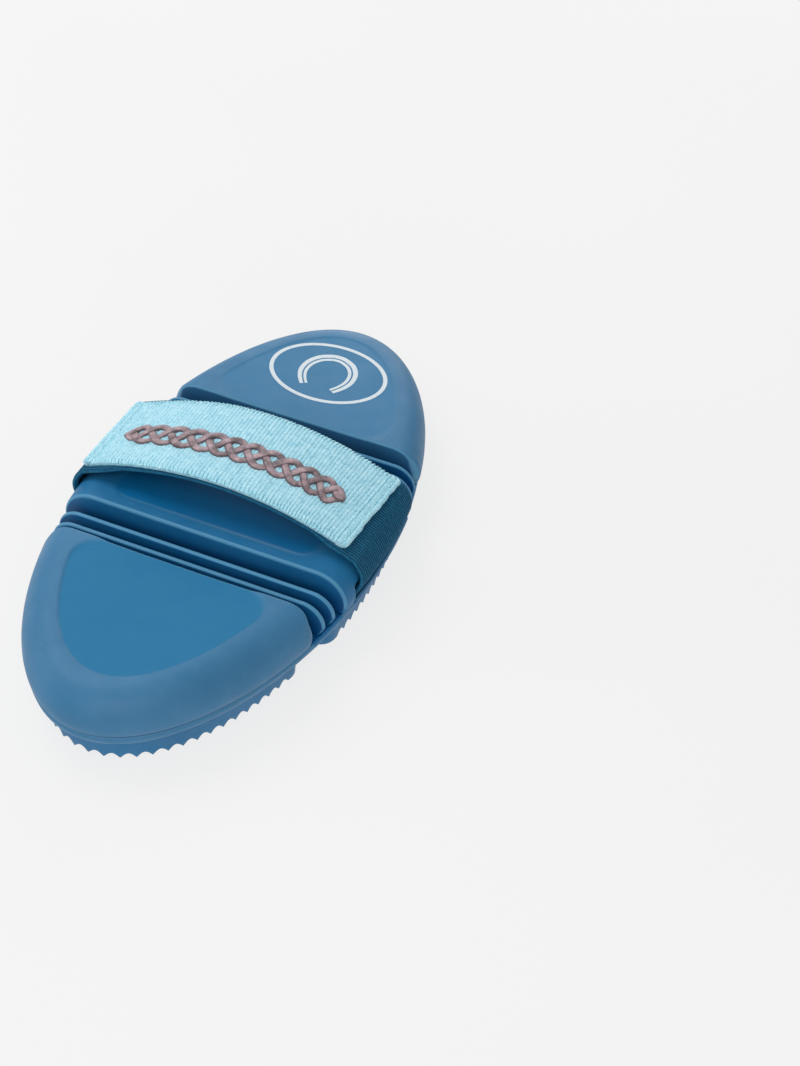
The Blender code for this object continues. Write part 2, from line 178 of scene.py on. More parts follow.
def eased(points, count):
    """A smooth open curve through a few points, by Catmull-Rom, resampled to count points."""
    knots = np.vstack([2 * points[0] - points[1], points, 2 * points[-1] - points[-2]])
    fine = []
    for i in range(1, len(knots) - 2):
        a, b, c, d = knots[i - 1 : i + 3]
        for t in np.linspace(0, 1, 12, endpoint=False):
            fine.append(0.5 * (2 * b + (c - a) * t + (2 * a - 5 * b + 4 * c - d) * t**2
                               + (3 * b - a - 3 * c + d) * t**3))
    fine.append(points[-1])
    return resampled(np.array(fine), count)


# ---- meshes


def piece(name, points, faces, look, sharp=50):
    """A mesh object. Doubled points are merged, and faces of more than four corners stay flat."""
    mesh = bpy.data.meshes.new(name)
    mesh.from_pydata(np.asarray(points).reshape(-1, 3).tolist(), [], faces)
    work = bmesh.new()
    work.from_mesh(mesh)
    bmesh.ops.remove_doubles(work, verts=work.verts, dist=1e-7)
    bmesh.ops.recalc_face_normals(work, faces=work.faces)
    for face in work.faces:
        face.smooth = len(face.verts) <= 4
    work.to_mesh(mesh)
    work.free()
    mesh.set_sharp_from_angle(angle=math.radians(sharp))
    mesh.materials.append(look)
    made = bpy.data.objects.new(name, mesh)
    bpy.context.scene.collection.objects.link(made)
    return made


def marked(made, name, value_at, domain="POINT"):
    """Gives each point, or each face, a number that a material can read.

    value_at takes places and normals, both shaped (n, 3).
    """
    parts = made.data.vertices if domain == "POINT" else made.data.polygons
    places = np.array([part.co if domain == "POINT" else part.center for part in parts])
    normals = np.array([part.normal for part in parts])
    values = np.asarray(value_at(places, normals), np.float32)
    made.data.attributes.new(name, "FLOAT", domain).data.foreach_set("value", values)


def mark_hollow_shade(made, values):
    """Writes how deep in a hollow each point lies, 0 to 1, in the order the points were given; the looks
    paint shade there.
    """
    values = np.asarray(values, np.float32).ravel()
    made.data.attributes.new("hollow", "FLOAT", "POINT").data.foreach_set("value", values)


def strip_faces(rows, columns, wrap_rows=False, wrap_columns=False, first=0):
    """Quads over a grid of points."""
    faces = []
    for r in range(rows if wrap_rows else rows - 1):
        a, b = first + r * columns, first + (r + 1) % rows * columns
        for c in range(columns if wrap_columns else columns - 1):
            d = (c + 1) % columns
            faces.append((a + c, a + d, b + d, b + c))
    return faces


def lofted(name, loops, look, closed=False, sharp=50):
    """A solid through closed loops of equal count, shape (loops, points, 3), capped unless closed."""
    rows, columns = loops.shape[:2]
    faces = strip_faces(rows, columns, wrap_rows=closed, wrap_columns=True)
    if not closed:
        last = (rows - 1) * columns
        faces += [tuple(range(columns)), tuple(range(last, last + columns))]
    return piece(name, loops, faces, look, sharp)


def moved_in(loop, distance):
    """A closed loop of (x, z), anticlockwise, moved in by distance."""
    if not distance:
        return loop
    return loop + distance * left_normals(np.roll(loop, -1, axis=0) - np.roll(loop, 1, axis=0))


def swept(name, stations, section, look, crest=0):
    """A closed section swept along Y. section(y) gives (x, z) points, anticlockwise seen from the front.

    crest is the radius that rounds the outer edges of the first and the last face.
    """
    first, last = stations[0], stations[-1]
    turns = np.linspace(math.pi / 2, 0, 5) if crest else []
    rounding = [(crest * (1 - math.sin(turn)), crest * (1 - math.cos(turn))) for turn in turns]
    steps = [(first + along, depth) for along, depth in rounding]
    steps += [(y, 0) for y in stations if not crest or min(abs(y - first), abs(y - last)) > crest]
    steps += [(last - along, depth) for along, depth in reversed(rounding)]
    points = [np.insert(moved_in(section(y), depth), 1, y, axis=1) for y, depth in steps]
    return lofted(name, np.array(points), look)


# ---- materials


class Nodes:
    """A material's node tree, with short calls to add and join nodes."""

    def __init__(self, name):
        self.material = bpy.data.materials.new(name)
        self.material.use_nodes = True
        self.tree = self.material.node_tree
        self.shader = self.tree.nodes["Principled BSDF"]
        self.place = self.add("ShaderNodeTexCoord").outputs["Object"]

    def add(self, kind, **settings):
        node = self.tree.nodes.new(kind)
        for key, value in settings.items():
            setattr(node, key, value)
        return node

    def join(self, source, target):
        self.tree.links.new(source, target)

    def set(self, **values):
        for key, value in values.items():
            self.shader.inputs[key.replace("_", " ")].default_value = value

    def noise(self, scale, detail=3.0, roughness=0.55, stretch=None):
        node = self.add("ShaderNodeTexNoise")
        node.inputs["Scale"].default_value = scale
        node.inputs["Detail"].default_value = detail
        node.inputs["Roughness"].default_value = roughness
        place = self.place
        if stretch:
            mapping = self.add("ShaderNodeMapping")
            mapping.inputs["Scale"].default_value = stretch
            self.join(place, mapping.inputs["Vector"])
            place = mapping.outputs["Vector"]
        self.join(place, node.inputs["Vector"])
        return node.outputs["Fac"]

    def waves(self, period, turn, distortion):
        """Bands across X, turned by turn, with this period in metres."""
        mapping = self.add("ShaderNodeMapping")
        mapping.inputs["Rotation"].default_value = turn
        node = self.add("ShaderNodeTexWave")
        node.inputs["Scale"].default_value = math.pi / 10 / period
        node.inputs["Distortion"].default_value = distortion
        self.join(self.place, mapping.inputs["Vector"])
        self.join(mapping.outputs["Vector"], node.inputs["Vector"])
        return node.outputs["Fac"]

    def attribute(self, name):
        return self.add("ShaderNodeAttribute", attribute_name=name).outputs["Fac"]

    def spread(self, value, low_out, high_out, low_in=0.3, high_in=0.7):
        node = self.add("ShaderNodeMapRange")
        for key, number in (("From Min", low_in), ("From Max", high_in),
                            ("To Min", low_out), ("To Max", high_out)):
            node.inputs[key].default_value = number
        self.join(value, node.inputs["Value"])
        return node.outputs["Result"]

    def mixed(self, share, first, second):
        """A colour between two colours, each a tuple or another node's output."""
        node = self.add("ShaderNodeMix", data_type="RGBA")
        if isinstance(share, (int, float)):
            node.inputs["Factor"].default_value = share
        else:
            self.join(share, node.inputs["Factor"])
        for socket, colour in ((node.inputs[6], first), (node.inputs[7], second)):
            if isinstance(colour, tuple):
                socket.default_value = (*colour, 1)
            else:
                self.join(colour, socket)
        return node.outputs[2]

    def times(self, first, second):
        node = self.add("ShaderNodeMath", operation="MULTIPLY")
        for socket, value in zip(node.inputs, (first, second)):
            if isinstance(value, (int, float)):
                socket.default_value = value
            else:
                self.join(value, socket)
        return node.outputs["Value"]

    def colour(self, output):
        self.join(output, self.shader.inputs["Base Color"])

    def rough(self, output):
        self.join(output, self.shader.inputs["Roughness"])

    def bumps(self, *layers):
        """Each layer is (height output, depth in metres, strength)."""
        before = None
        for height, depth, strength in layers:
            node = self.add("ShaderNodeBump")
            node.inputs["Distance"].default_value = depth
            node.inputs["Strength"].default_value = strength
            self.join(height, node.inputs["Height"])
            if before:
                self.join(before, node.inputs["Normal"])
            before = node.outputs["Normal"]
        self.join(before, self.shader.inputs["Normal"])


def rubber(name, dark, light, bloom, dish_colour, shade_colour, shine=0.3):
    """Satin moulded rubber: cloudy colour, a fine mould grain and a faint dry bloom.

    The attribute "dish" marks the dished tops, which keep a purer blue, while the base colour round them is
    painted greyer, a painted reflection of the white room on the curved border. "crest" marks edges painted
    paler as a highlight. "deep" marks the walls and floors of the grooves, the seam and the vent holes,
    painted with shade that darkens downwards.
    """
    made = Nodes(name)
    clouds = made.spread(made.noise(45, 4), 0, 1)
    base = made.mixed(clouds, dark, light)
    dry = made.spread(made.noise(260, 5, 0.65), 0, 0.16, 0.5, 0.75)
    base = made.mixed(dry, base, bloom)
    # painted reflection: the dished tops keep a purer blue, the border round them stays greyer
    base = made.mixed(made.times(made.attribute("dish"), 0.85), base, dish_colour)
    # painted highlight: crests and the rim's edge are lighter
    base = made.mixed(made.times(made.attribute("crest"), 0.7), base, (0.10, 0.30, 0.47))
    # painted shade: grooves, seam and vent holes darken towards the bottom
    height = made.add("ShaderNodeSeparateXYZ")
    made.join(made.place, height.inputs["Vector"])
    down = made.spread(height.outputs["Z"], 0.9, 0.2, 16 * MM, 24 * MM)
    made.colour(made.mixed(made.times(made.attribute("deep"), down), base, shade_colour))
    made.rough(made.spread(made.noise(160, 4), 0.38, 0.54))
    made.bumps((made.noise(420, 3), 0.00003, 0.3), (made.noise(3200, 2), 0.00001, 0.5))
    made.set(Specular_IOR_Level=shine)
    return made.material


def elastic_cloth(name):
    """Woven elastic: cords along the strap, with the gaps between them painted dark as shade, and a fine
    thread grain.
    """
    made = Nodes(name)
    thread = made.noise(900, 3, 0.6, (1, 3, 1))
    base = made.mixed(made.spread(thread, 0, 1, 0.35, 0.65), (0.004, 0.072, 0.145), (0.011, 0.130, 0.240))
    fuzz = made.spread(made.noise(1500, 3), 0, 0.25, 0.5, 0.8)
    base = made.mixed(fuzz, base, (0.016, 0.17, 0.29))
    # painted shade in the gaps between the cords
    made.colour(made.mixed(made.spread(made.attribute("hollow"), 0, 0.95, 0.1, 0.6), base,
                           (0.001, 0.014, 0.042)))
    made.bumps((thread, 0.00008, 0.4), (made.noise(2600, 2), 0.00005, 0.4))
    made.set(Roughness=0.85, Specular_IOR_Level=0.2)
    return made.material


def webbing_cloth(name):
    """Ribbed webbing: thick cross ribs covered by fine lengthwise threads."""
    made = Nodes(name)
    warp = made.waves(0.52 * MM, (0, 0, math.radians(90)), 0.8)
    hollow = made.attribute("hollow")
    base = made.mixed(made.spread(made.noise(500, 4), 0, 1), (0.28, 0.61, 0.75), (0.48, 0.78, 0.88))
    base = made.mixed(made.spread(warp, 0, 0.4, 0.1, 0.9), base, (0.54, 0.84, 0.92))
    specks = made.spread(made.noise(1300, 2, 0.5, (1.6, 1, 1)), 0, 0.75, 0.54, 0.68)
    base = made.mixed(specks, base, (0.15, 0.46, 0.61))
    # painted shade in the gaps between the ribs, broken up at random
    broken = made.spread(made.noise(520, 3), 0.2, 1.0, 0.35, 0.7)
    gaps = made.times(made.spread(hollow, 0, 0.75, 0.2, 1.0), broken)
    made.colour(made.mixed(gaps, base, (0.045, 0.27, 0.40)))
    made.bumps((warp, 0.0001, 0.5), (made.noise(2400, 3), 0.00006, 0.6))
    made.set(Roughness=0.85, Specular_IOR_Level=0.25, Sheen_Weight=0.2, Sheen_Roughness=0.5)
    return made.material


def thread_look(name, dark, light, gloss):
    """Sewing or embroidery thread, with its twist."""
    made = Nodes(name)
    tone = made.spread(made.noise(330, 4, 0.6), 0, 1, 0.35, 0.65)
    # painted shade along the sides of satin stitch
    sides = made.spread(made.attribute("hollow"), 0, 0.8, 0.2, 1.0)
    made.colour(made.mixed(sides, made.mixed(tone, dark, light), tuple(part * 0.5 for part in dark)))
    made.bumps((made.noise(5200, 2), 0.00003, 0.5),)
    made.set(Roughness=gloss, Specular_IOR_Level=0.45, Sheen_Weight=0.15)
    return made.material


def ink_look(name):
    """Matt screen print, a little thin in places, so that the rubber shows through."""
    made = Nodes(name)
    worn = made.spread(made.noise(900, 5, 0.7), 0, 0.55, 0.55, 0.75)
    made.colour(made.mixed(worn, (0.62, 0.69, 0.73), (0.24, 0.42, 0.53)))
    made.rough(made.spread(made.noise(700, 3), 0.5, 0.7))
    made.bumps((made.noise(1900, 3), 0.00002, 0.4),)
    return made.material


def floor_look(name):
    """Bright paper that also glows, so that it stays pale and takes hardly any shadow."""
    made = Nodes(name)
    tone = made.mixed(made.spread(made.noise(3, 2), 0, 1), (0.85, 0.85, 0.85), (0.87, 0.87, 0.87))
    made.colour(made.mixed(0.86, tone, (0.0, 0.0, 0.0)))
    made.join(tone, made.shader.inputs["Emission Color"])
    made.set(Roughness=0.9, Specular_IOR_Level=0.0, Emission_Strength=0.9)
    return made.material


# ---- upper moulding


def shoulder(inset, z, radius, steps):
    """A quarter round, from a side that ends at z in to a flat top."""
    turns = np.linspace(0, math.pi / 2, steps + 1)
    return [(inset + radius * (1 - math.cos(t)), z + radius * math.sin(t)) for t in turns]


# The upper moulding's side, as (inset, height), from inside the seam up over the shoulder
UPPER_SIDE = [(inset * MM, SEAM_Z + rise * MM)
              for inset, rise in ((2.4, -0.1), (1.3, 0.05), (0.75, 0.35), (0.4, 0.9), (0.12, 1.9))]
UPPER_SIDE += shoulder(0, SHOULDER_Z, SHOULDER_RADIUS, 14)


def end_dish(inset, y):
    """0 on an end section's border to 1 inside its dish, which is a rounded half oval."""
    from_rim = np.maximum(END_DISH_CORNER - (inset - END_DISH_INSET), 0)
    from_groove = np.maximum(END_DISH_CORNER - (np.abs(y) - END_DISH_START_Y), 0)
    return smooth_step((END_DISH_CORNER - np.hypot(from_rim, from_groove)) / (1.3 * MM))


def end_top(inset, y, end):
    """Height of an end section's top: a step down into a very shallow dish."""
    depth = DISH_DEPTH + 0.3 * MM * smooth_step((inset - 11 * MM) / (24 * MM))
    return TOP_Z - END_DISH_SHARE[end] * end_dish(inset, y) * depth


def inset_at(x, y):
    """How far in from the outline a point lies, by halving."""
    near, far = np.zeros_like(x), np.full_like(x, HALF_WIDTH - 1e-6)
    for _ in range(40):
        middle = (near + far) / 2
        inside = np.abs(x) < outline_x(y, middle)
        near, far = np.where(inside, middle, near), np.where(inside, far, middle)
    return near


def crest_at(z):
    """The rounding at a section's cut end, small along its top and wide down its side."""
    return CREST + (SIDE_CREST - CREST) * float(smooth_step((TOP_Z - 0.6 * MM - z) / (4.5 * MM)))


def end_solid(name, side, rings, start_y, look, crests=None, top=None):
    """A solid end of the body, cut square at start_y.

    rings holds (inset, z), where inset HALF_WIDTH is the middle line. crests(z) is the radius that
    rounds the edge between the cut and the outside. top(inset, y) is the height of the points further
    in than the shoulder.
    """
    rings = np.array(rings)
    slope = np.gradient(rings, axis=0)
    slope /= np.linalg.norm(slope, axis=1)[:, None]
    inward, upward = slope[:, 1], -slope[:, 0]  # the normal that points into the solid
    if rings[0, 1] > rings[-1, 1]:
        inward, upward = -inward, -upward
    turns = np.linspace(math.pi / 2, 0, 6)[:-1] if crests else np.array([])
    grid = []
    for (inset, z), n_in, n_up in zip(rings, inward, upward):
        crest = crests(z) if crests else 0
        reach = HALF_LENGTH - inset
        fine_end = start_y + 9 * MM
        near = np.arcsin(np.minimum(np.linspace(start_y + crest, fine_end, 19)[:-1] / reach, 0.999))
        last = math.asin(fine_end / reach)
        angles = np.concatenate([near, np.linspace(last, math.pi - last, 61), math.pi - near[::-1]])
        ys = reach * np.sin(angles)
        xs = outline_x(ys, inset) * np.sign(np.cos(angles))
        zs = top(inset, ys) if top and inset > SHOULDER_RADIUS else np.full_like(ys, z)
        edge_y = start_y + crest * (1 - np.sin(turns))
        depth = crest * (1 - np.cos(turns))
        edge_x = outline_x(edge_y, np.minimum(HALF_WIDTH, inset + depth * n_in))
        edge = np.column_stack([edge_x, edge_y, zs[0] + depth * n_up])
        grid.append(np.vstack([edge, np.column_stack([xs, ys, zs]), edge[::-1] * (-1, 1, 1)]))
    points = np.array(grid)
    points[:, :, 1] *= side
    rows, count = points.shape[:2]
    faces = strip_faces(rows, count)
    starts = [row * count for row in range(rows)]
    faces.append((*starts, *(start + count - 1 for start in reversed(starts))))
    if rings[0, 0] < HALF_WIDTH - 1e-6:
        faces.append(tuple(range(count)))
    return piece(name, points, faces, look)


def cut_faces(places, normals):
    """1 on the flat faces that look into the grooves, where shade is painted."""
    return (np.abs(normals[:, 1]) > 0.97) & (np.abs(places[:, 1]) < END_START_Y + 0.3 * MM)


def seam_faces(places, normals):
    """1 on the faces inside the seam round the body, and less on the edge just above it, where a line of
    shade is painted.
    """
    height = places[:, 2]
    inside = (height > SEAM_Z - 0.16 * MM) & (height < SEAM_Z + 0.22 * MM)
    return np.where(inside, 1.0, 0.6 * ((height > SEAM_Z) & (height < SEAM_Z + 0.66 * MM)))


def rim_highlight_line(places, normals):
    """0.75 on the rim's edge just below the seam, where a highlight line is painted."""
    height = places[:, 2]
    beside = (height > SEAM_Z - 0.45 * MM) & (height < SEAM_Z - 0.05 * MM)
    return 0.75 * (beside & (np.abs(normals[:, 2]) < 0.98))


def cut_or_seam(places, normals):
    return np.maximum(cut_faces(places, normals), seam_faces(places, normals))


def painted_crest_highlight(places, normals):
    """1 on the rounded edges along the grooves, which are painted paler as a highlight."""
    lean = np.abs(normals[:, 1])
    here = (np.abs(places[:, 1]) < END_START_Y + 3 * MM) & (places[:, 2] > SHOULDER_Z)
    return smooth_step((lean - 0.12) * 4) * smooth_step((0.99 - lean) * 9) * here


def end_upper(end, side, look):
    steps = (0.4, 0.8, 1.0, 1.2, 1.4, 1.6, 1.8, 2.1, 2.6, 3.3, 4.2, 5.4, 7, 9, 11, 14, 18, 23, 29)
    insets = [SHOULDER_RADIUS + step * MM for step in steps]
    rings = UPPER_SIDE + [(inset, TOP_Z) for inset in insets + [HALF_WIDTH]]
    made = end_solid(f"{end}_top", side, rings, END_START_Y, look, crest_at,
                     lambda inset, y: end_top(inset, y, end))
    # painted shade on the cut faces and in the seam
    marked(made, "deep", cut_or_seam, "FACE")
    # painted highlight along the rounded edges
    marked(made, "crest", painted_crest_highlight)

    def dished(places, normals):
        x, y, z = places.T
        return END_DISH_SHARE[end] * end_dish(inset_at(x, y), y) * (z > TOP_Z - 1 * MM)

    marked(made, "dish", dished)
    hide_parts(f"{end}_shell")
    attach(made, f"{end}_end")


def side_points(side, y):
    """A right-hand side's (inset, height) points as (x, z), at y."""
    return [(float(outline_x(y, inset)), z) for inset, z in side]


def across(edge, count):
    """Points evenly spaced from a right-hand edge towards its mirror image, leaving both out."""
    return [(edge[0] * share, edge[1]) for share in np.linspace(1, -1, count)[1:-1]]


def section_loop(right, top=(), bottom=()):
    """A closed loop of (x, z): its right side, its top, the mirrored left side and its bottom."""
    return np.array([*right, *top, *((-x, z) for x, z in reversed(right)), *bottom])


def dish_step(x, y):
    """0 on the centre section's border to 1 inside its dish, which is a rounded rectangle."""
    half_x, half_y = CENTRE_DISH
    out_x = np.maximum(np.abs(x) - half_x + DISH_CORNER, 0)
    out_y = np.maximum(np.abs(y) - half_y + DISH_CORNER, 0)
    return smooth_step((DISH_CORNER - np.hypot(out_x, out_y)) / (2.8 * MM))


def slot_window(y):
    """1 where the strap's slot is, easing to 0 past its ends."""
    ease = 1.2 * MM
    return smooth_step((SLOT_HALF + ease / 2 - np.abs(y - STRAP_Y)) / ease)


def centre_section(y):
    """The centre section's outline at y, as a closed loop of (x, z)."""
    recess_z = np.array([12.0, 14.3, 16.5, 18.5, 20.5, 21.5]) * MM
    recess_inset = np.array([2.75, 2.75, 1.9, 1.1, 0.75, 0.0]) * MM
    share = float(slot_window(y))
    side = [(inset + share * max(0.0, float(np.interp(z, recess_z, recess_inset)) - inset), z)
            for inset, z in UPPER_SIDE]
    edge = float(outline_x(y, SHOULDER_RADIUS))
    fine = np.concatenate([np.linspace(1, 0.96, 3)[1:], np.linspace(0.96, 0.78, 13)[1:],
                           np.linspace(0.78, 0, 22)[1:]])
    xs = np.concatenate([fine, -fine[:-1][::-1]]) * edge
    top = [(x, float(TOP_Z - DISH_DEPTH * dish_step(x, y))) for x in xs]
    return section_loop(side_points(side, y), top)


def centre_upper(look):
    half = np.concatenate([np.linspace(0, 0.74, 16), np.linspace(0.74, 1, 22)[1:]])
    stations = np.concatenate([-half[::-1][:-1], half]) * CENTRE_END_Y
    made = swept("centre_top", stations, centre_section, look, 1.0 * MM)
    # painted shade on the cut faces and in the seam
    marked(made, "deep", cut_or_seam, "FACE")
    # painted highlight along the rounded edges
    marked(made, "crest", painted_crest_highlight)
    marked(made, "dish", lambda p, n: dish_step(p[:, 0], p[:, 1]) * (p[:, 2] > TOP_Z - 1 * MM))
    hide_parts("centre_shell")
    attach(made, "centre")


# ---- bellows


RIB_SIDE = [(inset * MM, SEAM_Z + rise * MM)
            for inset, rise in ((2.6, -0.4), (2.1, -0.1), (1.75, 0.3), (1.1, 1.3))]
RIB_SIDE += shoulder(RIB_INSET, RIB_TOP_Z - RIB_SHOULDER, RIB_SHOULDER, 12)


def rib_section(y):
    right = side_points(RIB_SIDE, y)
    return section_loop(right, across(right[-1], 21))


# The rim's bead, from the plate's underside out round to its top
BEAD = [(6.0, 9.5), (4.6, 9.5), (4.0, 9.48), (3.5, 9.35), (3.0, 9.12), (2.5, 8.98), (2.0, 9.05),
        (1.55, 9.3), (1.2, 9.7), (0.95, 10.2), (0.82, 10.7), (0.78, 11.15), (0.8, 11.5), (0.88, 11.75),
        (1.0, 11.95), (1.15, 12.1), (1.35, 12.22), (1.6, 12.3)]
WEB_SIDE = [*BEAD, (3.0, 12.3), (5.3, 12.3)]


def web_section(y):
    right = side_points(np.array(WEB_SIDE) * MM, y)
    return section_loop(right, across(right[-1], 9), across(right[0], 9)[::-1])


def bellows(end, side, look):
    """Two ribs, and three strips of web that each span one hinge."""
    chain = ["centre", f"{end}_rib_inner", f"{end}_rib_outer", f"{end}_end"]
    cuts = [CENTRE_END_Y - PLATE_STEP, (HINGE_Y[0] + HINGE_Y[1]) / 2, (HINGE_Y[1] + HINGE_Y[2]) / 2,
            END_START_Y + PLATE_STEP]
    for place in (0, 1):
        middle = side * (CENTRE_END_Y + (place + 1) * (RIB_PITCH + RIB_SHIFT))
        half = RIB_THICK / 2
        body = chain[place + 1]
        rib = swept(f"{body}_blade", [middle - half, middle + half], rib_section, look, RIB_CREST)
        # painted shade on the cut faces
        marked(rib, "deep", cut_faces, "FACE")
        # painted highlight along the rib's top
        marked(rib, "crest",
               lambda p, n: (np.abs(p[:, 1] - middle) < half - 0.1 * MM) & (p[:, 2] > SHOULDER_Z))
        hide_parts(body)
        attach(rib, body)
    for place in range(3):
        stations = side * np.linspace(cuts[place], cuts[place + 1], 13)
        web = swept(f"{end}_web_{place + 1}", stations, web_section, look)
        # painted shade on the groove floor
        marked(web, "deep", lambda p, n: (n[:, 2] > 0.9) & (p[:, 2] > SEAM_Z - 0.1 * MM), "FACE")
        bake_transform(web)


# ---- lower moulding

# The plain rim, and the rim with the lip that hides the strap's slot, which has as many points
RIM = [*BEAD, (2.0, 12.3), (2.3, 12.3), (2.6, 12.3), (2.8, 12.3), (3.0, 12.3)]
RIM_WITH_LIP = [*BEAD[:9], (0.92, 10.2), (0.78, 10.75), (0.75, 11.35), (1.15, 11.75), (0.35, 12.05),
                (0.05, 12.45), (0.02, 13.0), (0.25, 13.4), (0.6, 13.5), (0.92, 13.3), (1.02, 12.8),
                (1.05, 11.3), (1.3, 11.0), (2.9, 11.0)]


def rim_at(y):
    """The rim's outline at y, with a lip where the strap's slot is."""
    share = float(slot_window(y))
    return np.array(RIM) * MM * (1 - share) + np.array(RIM_WITH_LIP) * MM * share


def centre_lower_section(y):
    right = side_points([*rim_at(y), (3.1 * MM, SEAM_Z)], y)
    return section_loop(right, bottom=across(right[0], 9)[::-1])


# A vent's radius at heights above the plate's underside
VENT_LEVELS = [(rise * MM, radius * MM)
               for rise, radius in ((-1, 1.625), (0.15, 1.378), (0.5, 1.3), (2.2, 1.3))]


def inside_plate(places, normals):
    """1 on the faces inside the vent holes, where shade is painted."""
    height = places[:, 2]
    within = np.abs(places[:, 0]) < outline_x(places[:, 1], 6.5 * MM)
    return within & (height > FLOOR_Z + 0.3 * MM) & (height < SEAM_Z - 0.05 * MM)


def drilled(target, places):
    """Vent holes, as blind holes with a slightly eased mouth."""
    turns = np.linspace(0, 2 * math.pi, 29)[:-1]
    loops = np.array([[(radius * math.cos(turn), radius * math.sin(turn), FLOOR_Z + rise) for turn in turns]
                      for rise, radius in VENT_LEVELS])
    for x, y in places:
        cutter = lofted("vent_cutter", loops + (x * MM, y * MM, 0), target.data.materials[0])
        cut = target.modifiers.new("vent", "BOOLEAN")
        cut.operation = "DIFFERENCE"
        cut.object = cutter
        bpy.context.view_layer.objects.active = target
        bpy.ops.object.modifier_apply(modifier=cut.name)
        bpy.data.objects.remove(cutter)
    for face in target.data.polygons:
        face.use_smooth = abs(face.normal.z) < 0.995
    # painted shade inside the vent holes and in the seam
    marked(target, "deep", lambda p, n: np.maximum(inside_plate(p, n), seam_faces(p, n)), "FACE")


CENTRE_VENTS = [(0, 0), (10.2, 6.2), (-10.2, 6.2), (10.2, -6.2), (-10.2, -6.2),
                (34.3, 6.0), (34.3, -6.0), (-34.3, 6.0), (-34.3, -6.0)]
END_VENTS = [(6.7, 41.2), (-6.7, 41.2), (0, 52.4)]


def centre_lower(look):
    edge = CENTRE_END_Y - PLATE_STEP
    ease = np.linspace(-1, 1, 7) * 1.0 * MM
    stations = np.concatenate([np.linspace(-edge, edge, 30), STRAP_Y - SLOT_HALF + ease,
                               STRAP_Y + SLOT_HALF + ease])
    stations = np.unique(np.round(stations[np.abs(stations) <= edge], 6))
    made = swept("centre_plate", stations, centre_lower_section, look)
    drilled(made, CENTRE_VENTS)
    # painted highlight line on the rim under the seam
    marked(made, "crest", rim_highlight_line)
    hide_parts("centre_base")
    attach(made, "centre")


def end_lower(end, side, look):
    rings = [(HALF_WIDTH, FLOOR_Z), (30 * MM, FLOOR_Z), (15 * MM, FLOOR_Z)]
    rings += [(inset * MM, z * MM) for inset, z in RIM]
    rings += [(HALF_WIDTH, SEAM_Z)]
    made = end_solid(f"{end}_plate", side, rings, END_START_Y + PLATE_STEP, look)
    drilled(made, [(x, side * y) for x, y in END_VENTS])
    # painted highlight line on the rim under the seam
    marked(made, "crest", rim_highlight_line)
    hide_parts(f"{end}_base")
    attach(made, f"{end}_end")


# ---- toothed walls

WALL_SECTION = [(3.3, 9.7), (3.2, 9.49), (2.75, 9.36), (2.4, 9.05), (2.15, 8.5), (2.05, 7.6), (1.95, 6.3),
                (1.82, 4.8), (1.7, 3.2), (1.62, 2.2)]


def tooth_count(start, end):
    """How many teeth fit between two places along a wall, and at least one."""
    return max(1, round((end - start) / TOOTH_PITCH))


def notch_heights(reach, spans):
    """Tip height along a wall: scallops in each span, between sharp ridges."""
    heights = np.zeros_like(reach)
    for start, end in spans:
        inside = (reach >= start - 1e-9) & (reach <= end + 1e-9)
        phase = (reach[inside] - start) / (end - start) * tooth_count(start, end) * math.pi
        heights[inside] = NOTCH_DEPTH * np.abs(np.sin(phase)) ** 1.1
    return heights


def toothed_wall(node, body, path, closed, spans, look, square_ends=False):
    """A wall hanging from the plate along a plan path, with scallops cut across its lower edge.

    It stands for the node. spans holds the (start, end) lengths along the path that carry teeth.
    """
    ring = ringed(path) if closed else path
    total = path_length(ring)
    toothed = [np.linspace(start, end, tooth_count(start, end) * TOOTH_STEPS + 1) for start, end in spans]
    plain = [mark for mark in np.linspace(0, total, max(2, round(total / (0.7 * MM))))
             if not any(start - 0.2 * MM < mark < end + 0.2 * MM for start, end in spans)]
    reach = np.unique(np.round(np.concatenate([*toothed, plain]), 8))
    if closed:
        reach = reach[reach < total - 1e-7]

    def spots_at(reaches):
        return spots_along(ring, reaches % total if closed else reaches)

    probe = 0.5 * MM
    normal = left_normals(spots_at(reach + probe) - spots_at(reach - probe))
    if square_ends:
        for end in (0, -1):
            normal[end] = (math.copysign(1, normal[end, 0]), 0)
    tips = notch_heights(reach, spans)
    loops = []
    for here, out, tip in zip(spots_at(reach), normal, tips):
        half = [(w * MM, max(z * MM, tip + 0.5 * MM)) for w, z in WALL_SECTION]
        half += [(1.56 * MM, tip + 0.32 * MM), (1.45 * MM, tip + 0.1 * MM), (1.22 * MM, tip)]
        section = section_loop(half, [(w * MM, tip) for w in (0.6, 0.0, -0.6)])
        loops.append([(here[0] + out[0] * w, here[1] + out[1] * w, z) for w, z in section])
    made = lofted(node.replace("wall", "teeth"), np.array(loops), look, closed=closed, sharp=40)
    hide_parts(node)
    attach(made, body)


def open_wall(node, body, path, clear, look):
    """A toothed wall with two ends, each plain for a length of clear."""
    spans = [(clear, path_length(path) - clear)]
    toothed_wall(node, body, path, False, spans, look, square_ends=True)


def ring_wall(node, body, outline, posts, clear, look):
    """A closed toothed wall along an outline with rounded corners, plain near its posts."""
    path = rounded(outline, POST_REACH)
    path = np.roll(path, -nearest(path, posts[0]), axis=0)
    lengths = lengths_along(ringed(path))
    marks = sorted(lengths[nearest(path, post)] for post in posts)
    spans = [(start + clear, end - clear) for start, end in zip(marks, [*marks[1:], lengths[-1]])]
    toothed_wall(node, body, path, True, spans, look)


def ellipse_arc(reach_y, reach_x, start_y, side):
    """The stretch of an ellipse round the middle that lies beyond start_y."""
    first = math.asin(start_y / reach_y)
    turns = np.linspace(first, math.pi - first, 161)
    return side * np.stack([reach_x * np.cos(turns), reach_y * np.sin(turns)], axis=1)


